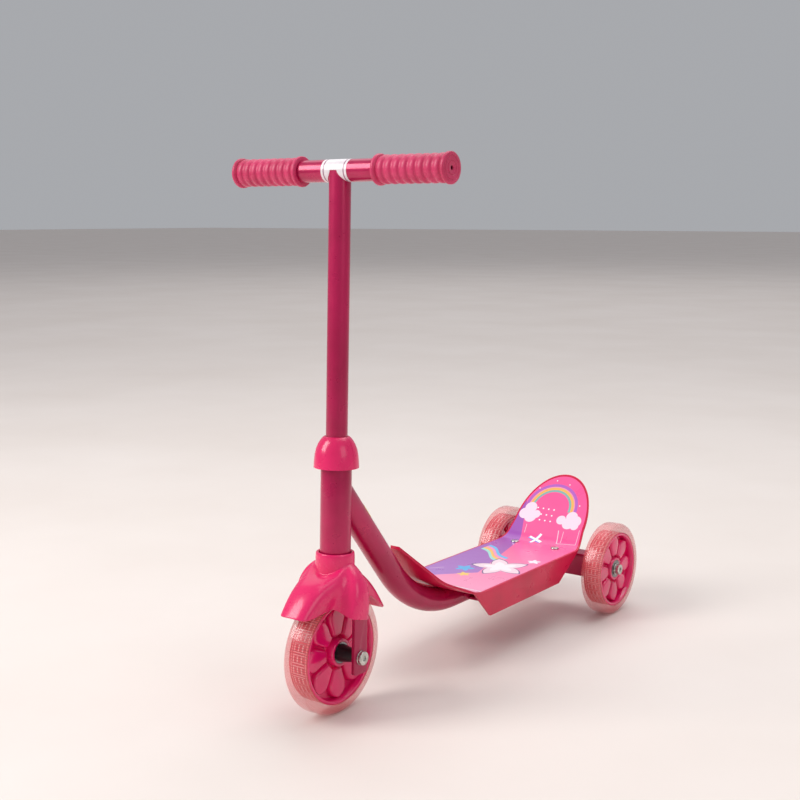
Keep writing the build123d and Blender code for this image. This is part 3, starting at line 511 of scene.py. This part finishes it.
def petal_height(radius, angle, tip, root):
    """Height of the raised petals over the web: broad, nearly touching, steep-sided and flat-topped."""
    if not root < radius < tip:
        return 0.0
    pitch = 2 * pi / PETALS
    round_start = tip - PETAL_END_SHARE * pitch * tip
    end = sqrt(max(0.0, 1 - max(0.0, (radius - round_start) / (tip - round_start)) ** 2))
    half_width = PETAL_HALF_SHARE * pitch * radius * end
    off_centre = abs((angle / pitch + 0.5) % 1.0 - 0.5) * pitch * radius
    inset = half_width - off_centre
    if inset <= 0:
        return 0.0
    side = min(1.0, inset / PETAL_SIDE)
    dome = sqrt(max(0.0, 1 - (off_centre / half_width) ** 2))
    crown = PETAL_SHOULDER + (1 - PETAL_SHOULDER) * dome
    return PETAL_RISE * crown * sqrt(1 - (1 - side) ** 2) * min(1.0, (radius - root) / PETAL_ROOT)


def make_wheel(name, centre, tyre_r, boss_half):
    """Clear tyre and petalled hub of one wheel, in place of their CAD nodes."""
    seat = tyre_r - TYRE_WALL
    rim = seat - BAND_THICK
    dish = rim - RIM_THICK
    place = across(centre)

    tyre = bmesh.new()
    lip_half = TYRE_HALF - SEAT_LIP
    shoulder_r, shoulder_half = tyre_r - TYRE_SHOULDER, TYRE_HALF - TYRE_SHOULDER
    outline = [(seat, -SEAT_HALF), *rounded_corner((seat + SEAT_LIP, -lip_half), SEAT_LIP, 180, 270, 3)]
    outline += rounded_corner((shoulder_r, -shoulder_half), TYRE_SHOULDER, -90, 0, 9)
    outline += [(tyre_r, 0.0)]
    outline += rounded_corner((shoulder_r, shoulder_half), TYRE_SHOULDER, 0, 90, 9)
    outline += [*rounded_corner((seat + SEAT_LIP, lip_half), SEAT_LIP, 90, 180, 3), (seat, SEAT_HALF)]
    turn_full(tyre, outline, 128)
    tyre.transform(place)
    new_piece(tyre, name + "_clear_tyre", name, "tyre_clear", tyre_clear, name + "_tyre")

    hub = bmesh.new()
    web_rings = 36
    root, tip = BOSS_R + 1.2, dish - 1.2
    web = [tip + (root - tip) * k / web_rings for k in range(web_rings + 1)]
    half = [(rim, 0.0), (rim, RIM_HALF - 0.5), (rim - 0.5, RIM_HALF), (dish + 0.7, RIM_HALF),
            (dish + 0.1, RIM_HALF - 0.6), (dish - 0.2, 3.6), (dish - 0.7, 2.2)]
    half += [(radius, WEB_HALF) for radius in web]
    half += [(BOSS_R + 0.5, 2.0), (BOSS_R, 3.0), (BOSS_R, boss_half - 0.6), (BOSS_R - 0.6, boss_half),
             (BEARING_R + 0.6, boss_half), (BEARING_R + 0.05, boss_half - 0.5),
             (BEARING_R, boss_half - BEARING_WIDTH), (SLEEVE_R, boss_half - BEARING_WIDTH)]
    outline = half + [(radius, -side) for radius, side in reversed(half) if side]
    turn_full(hub, outline, PETALS * 30)
    for vertex in hub.verts:
        radius = hypot(vertex.co.x, vertex.co.y)
        if abs(abs(vertex.co.z) - WEB_HALF) < 0.01 and root <= radius <= tip:
            angle = Vector((vertex.co.x, vertex.co.y)).angle_signed(Vector((1, 0)))
            lift = petal_height(radius, angle, tip, root)
            vertex.co.z += lift if vertex.co.z > 0 else -lift
    hub.transform(place)
    new_piece(hub, name + "_petal_hub", name, "hub_plastic", hub_plastic, name + "_hub", smooth_angle=50)

    for node, finish in ((name + "_print_band", printed_film(centre)), (name + "_bearings", bearing_steel),
                         (name + "_bearing_sleeve", zinc)):
        finish_node(node, finish)


make_wheel("front_wheel", front_axle, FRONT_TYRE_R, 12.0)
make_wheel("rear_left_wheel", rear_left_axle, REAR_TYRE_R, 9.0)
make_wheel("rear_right_wheel", rear_right_axle, REAR_TYRE_R, 9.0)

# ---------------------------------------------------------------- grips
bar_low, bar_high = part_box("handlebar")
bar_middle = (bar_low + bar_high) / 2


def make_grip(side, name, node):
    """Ribbed rubber grip with end flanges, closed at its outer end but for a small hole."""
    start, end, bore_end = 48.0, 133.2, 131.2
    bore, valley, crest, flange, hole = 11.1, 12.9, 14.2, 15.3, 2.2
    outline = [(bore, start), (flange - 0.6, start), (flange, start + 0.7), (flange, start + 3.0),
               (flange - 0.7, start + 3.9), (valley, start + 4.6)]
    first, last, ribs = start + 5.2, end - 5.0, 8
    pitch = (last - first) / ribs
    rib_points = ((-0.36, valley), (-0.30, 13.5), (-0.18, 14.05), (0.0, crest), (0.18, 14.05), (0.30, 13.5),
                  (0.36, valley))
    for rib in range(ribs):
        middle = first + pitch * (rib + 0.5)
        outline += [(radius, middle + pitch * share) for share, radius in rib_points]
    outline += [(valley, end - 4.6), (flange - 0.9, end - 4.1), (flange, end - 3.2), (flange, end - 0.9),
                (flange - 0.8, end)]
    groove = 0.4           # depth of the two rings pressed into the end
    for outer, inner in ((11.8, 10.7), (7.2, 6.1)):
        outline += [(outer, end), (outer - 0.3, end - groove), (inner + 0.3, end - groove), (inner, end)]
    outline += [(hole + 0.5, end), (hole, end - groove), (hole, bore_end), (bore, bore_end)]
    bm = bmesh.new()
    turn_full(bm, outline, 72)
    if side < 0:
        bmesh.ops.scale(bm, vec=(1, 1, -1), verts=bm.verts)
    bm.transform(across(Vector((0, bar_middle.y, bar_middle.z))))
    new_piece(bm, name, "steering", "grip_rubber", grip_rubber, node, smooth_angle=50)


make_grip(1, "grip_left_ribbed", "left_grip")
make_grip(-1, "grip_right_ribbed", "right_grip")

# ---------------------------------------------------------------- dome
# Half section, radius and height along the steering axis, in millimetres; two halves meet at a seam.
dome_outside = [(23.2, 191.4), (23.1, 194.0), (22.8, 199.0), (22.2, 204.5), (21.0, 210.2), (19.0, 215.2),
                (16.6, 219.2), (14.6, 221.6), (13.2, 222.8), (12.3, 223.2)]
dome_inside = [(11.2, 222.8), (11.2, 220.8), (13.2, 219.4), (15.6, 216.8), (17.6, 213.4), (19.3, 209.0),
               (20.3, 204.0), (20.9, 198.0), (21.2, 191.4)]
seam = 0.6             # half the gap between the halves, degrees
dome = bmesh.new()
for start in (seam, 180 + seam):
    geom = closed_outline(dome, dome_outside + dome_inside)
    cap = bmesh.ops.contextual_create(dome, geom=geom)["faces"]
    bmesh.ops.rotate(dome, verts=[g for g in geom if isinstance(g, bmesh.types.BMVert)], cent=(0, 0, 0),
                     matrix=Matrix.Rotation(radians(start), 3, "Z"))
    bmesh.ops.spin(dome, geom=geom + cap, cent=(0, 0, 0), axis=(0, 0, 1), angle=radians(180 - 2 * seam),
                   steps=48, use_merge=False, use_duplicate=False)
dome.transform(steer_frame)
new_piece(dome, "dome_two_halves", "steering", "pink_plastic", cover_plastic, "dome_cover")

# ---------------------------------------------------------------- fork cover
# Columns of the cover from its front to its rear: angle round the collar in degrees, then the
# place of the lower edge (out, behind the axle, above the ground) and how far the wall bulges.
COVER_COLUMNS = [
    (0, (0.0, -66.5, 117.4), 8.0), (12, (8.0, -66.2, 117.0), 8.0), (25, (14.6, -64.4, 116.0), 7.6),
    (36, (17.6, -58.6, 115.0), 7.0), (44, (18.2, -48.0, 115.4), 7.2), (52, (18.4, -37.0, 116.6), 7.6),
    (58, (18.6, -27.0, 117.8), 7.8), (63, (19.6, -19.6, 117.2), 7.4), (68, (25.4, -18.2, 114.6), 6.2),
    (73, (33.0, -17.6, 111.6), 5.0), (78, (39.0, -16.6, 109.8), 8.0), (85, (41.2, -11.0, 108.2), 10.2),
    (93, (41.4, -3.4, 106.2), 10.8), (101, (41.3, 4.4, 104.2), 10.6), (109, (40.0, 9.6, 103.0), 9.4),
    (118, (33.6, 12.4, 104.4), 6.0), (127, (24.5, 15.0, 110.5), 3.2), (136, (18.6, 21.0, 117.0), 2.4),
    (144, (16.6, 32.0, 120.0), 3.0), (152, (16.0, 46.0, 114.6), 4.4), (160, (15.6, 60.0, 104.4), 5.4),
    (167, (14.4, 70.5, 96.6), 6.2), (173, (9.0, 75.0, 94.6), 6.6), (180, (0.0, 76.0, 94.0), 7.0)]
COVER_RINGS = (0.0, 0.05, 0.14, 0.27, 0.42, 0.58, 0.74, 0.88, 0.97, 1.0)
COLLAR_R = 20.2
COLLAR_MOUTH_R = 16.6      # inside edge of the collar's rim, round the head tube
COLLAR_TOP = 104.3
SHOULDER_TOP = 94.0        # height where the shoulders leave the collar
HOOD_DROP = 11.0           # how much lower the hood and the rear guard leave it
COVER_WALL = 2.2


def collar_point(angle, height, radius=COLLAR_R):
    """A point of the collar, millimetres in the cover's frame: out, behind the axle, above the ground."""
    turned = radians(angle)
    local = Vector((radius * sin(turned), -radius * cos(turned), height))
    return (steer_frame @ local - Vector((0, front_axle.y, 0))) / MM


def collar_joint(angle):
    """Height up the collar at which the rest of the cover leaves it."""
    return SHOULDER_TOP - HOOD_DROP * cos(radians(angle)) ** 2


def cover_point(column, share):
    """A point of the cover's skin, from the collar (share 0) down to its lower edge (share 1)."""
    angle, foot, bulge = column
    top = collar_point(angle, collar_joint(angle))
    foot = Vector(foot)
    run = foot - top
    outward = Vector((sin(radians(angle)), -cos(radians(angle)), 0.6))
    outward -= run * (outward.dot(run) / run.length_squared)
    lift = bulge * sin(pi * share ** 0.85)
    return top + run * share + outward.normalized() * lift


columns = list(COVER_COLUMNS)
columns += [(360 - angle, (-x, y, z), bulge) for angle, (x, y, z), bulge in COVER_COLUMNS[-2:0:-1]]
columns.append((360, COVER_COLUMNS[0][1], COVER_COLUMNS[0][2]))
collar_rings = 4
last_ring = len(COVER_RINGS) - 1 + collar_rings
cover = bmesh.new()
bmesh.ops.create_grid(cover, x_segments=len(columns) - 1, y_segments=last_ring, size=1.0)
for vertex in cover.verts:
    column = columns[round((vertex.co.x + 1) / 2 * (len(columns) - 1))]
    ring = round((vertex.co.y + 1) / 2 * last_ring) - collar_rings
    if ring < 0:
        height, radius = {
            -1: (collar_joint(column[0]) + 1.6, COLLAR_R),
            -2: (COLLAR_TOP - 1.4, COLLAR_R),
            -3: (COLLAR_TOP, COLLAR_R - 0.9),
            -4: (COLLAR_TOP, COLLAR_MOUTH_R)}[ring]
        vertex.co = collar_point(column[0], height, radius)
    else:
        vertex.co = cover_point(column, COVER_RINGS[ring])
bmesh.ops.remove_doubles(cover, verts=cover.verts, dist=1e-3)
bmesh.ops.translate(cover, verts=cover.verts, vec=(0, front_axle.y / MM, 0))
bmesh.ops.scale(cover, verts=cover.verts, vec=(MM, MM, MM))
bmesh.ops.recalc_face_normals(cover, faces=cover.faces)
if sum((f.normal.dot(f.calc_center_median() - front_axle) for f in cover.faces)) < 0:
    bmesh.ops.reverse_faces(cover, faces=cover.faces)
cover_piece = new_piece(cover, "fork_cover_shell", "steering", "pink_plastic", cover_plastic, "fork_cover",
                        outward=False, smooth_angle=180)
wall = cover_piece.modifiers.new("wall", "SOLIDIFY")
wall.thickness = COVER_WALL * MM
wall.offset = -1.0
wall.use_even_offset = True
rounding = cover_piece.modifiers.new("rounding", "SUBSURF")
rounding.levels = rounding.render_levels = 2

# ---------------------------------------------------------------- edges of the metalwork and the deck
softened("fork_yoke", "steering", "tube_paint", tube_paint, 0.9 * MM)
softened("head_tube", "frame", "tube_paint", tube_paint, 0.5 * MM)
softened("rear_beam", "frame", "tube_paint", tube_paint, 0.4 * MM, 2)
softened("beam_end_plates", "frame", "tube_paint", tube_paint, 0.5 * MM, 2)
softened("deck", "frame", "deck_plastic", deck_plastic, 1.0 * MM)
for side in ("left", "right"):
    softened(f"rear_deck_bracket_{side}", "frame", "tube_paint", tube_paint, 0.5 * MM, 2)
    softened(f"front_deck_bracket_{side}", "frame", "tube_paint", tube_paint, 0.5 * MM, 2)
for body, hardware in (
        ("steering", ("front_axle_bolt", "front_axle_nut", "front_axle_washers")),
        ("frame", ("rear_axle_nuts", "rear_axle_washers", "rear_deck_bolts", "rear_deck_nuts",
                   "front_deck_screws"))):
    for node in hardware:
        softened(node, body, "steel_zinc", zinc, 0.35 * MM, 2)
softened("front_axle_spacers", "steering", "black_plastic", black_plastic, 0.4 * MM, 2)
softened("rear_wheel_spacers", "frame", "black_plastic", black_plastic, 0.4 * MM, 2)

# ---------------------------------------------------------------- floor, light and camera
floor_mesh = bmesh.new()
bmesh.ops.create_grid(floor_mesh, x_segments=2, y_segments=2, size=40.0)
floor_data = bpy.data.meshes.new("floor")
floor_mesh.to_mesh(floor_data)
floor_mesh.free()
floor = bpy.data.objects.new("floor", floor_data)
scene.collection.objects.link(floor)
ground = Shader("pale_floor")
floor_tone = ground.layer(
    ground.spread(ground.noise(2.0), 0.3, 0.7), paint(236, 226, 220), paint(230, 219, 212))
floor_data.materials.append(ground.set(Base_Color=floor_tone, Roughness=0.6))

world = bpy.data.worlds.new("studio")
world.use_nodes = True
world.node_tree.nodes["Background"].inputs[0].default_value = (0.93, 0.95, 1.0, 1.0)
world.node_tree.nodes["Background"].inputs[1].default_value = 0.42
scene.world = world


def soft_light(name, place, target, size, power, colour=(1, 1, 1)):
    data = bpy.data.lights.new(name, "AREA")
    data.shape = "RECTANGLE"
    data.size, data.size_y = size
    data.energy = power
    data.color = colour
    lamp = bpy.data.objects.new(name, data)
    lamp.location = place
    lamp.rotation_euler = (Vector(target) - Vector(place)).to_track_quat("-Z", "Y").to_euler()
    scene.collection.objects.link(lamp)


soft_light("key_window", (-1.6, -1.9, 1.9), (0, 0, 0.25), (1.2, 1.8), 58.0, (1.0, 0.98, 0.96))
soft_light("fill_right", (2.2, -0.6, 1.3), (0, 0, 0.2), (1.2, 1.4), 9.0)
soft_light("top_soft", (0.2, 0.6, 2.6), (0, 0, 0.1), (2.0, 2.0), 26.0)
soft_light("floor_wash", (-2.5, 4.5, 5.0), (-2.5, 4.5, 0), (7.0, 7.0), 120.0)

camera_data = bpy.data.cameras.new("camera")
camera_data.lens = 56.37
camera_data.sensor_width = 36.0
camera_data.clip_start = 0.05
camera = bpy.data.objects.new("camera", camera_data)
camera.location = (0.79131, -1.18826, 0.50791)
camera.rotation_euler = (radians(90 - 8.34), 0, radians(36.36))
scene.collection.objects.link(camera)
scene.camera = camera
scene.view_settings.view_transform = "Standard"

bpy.context.view_layer.update()
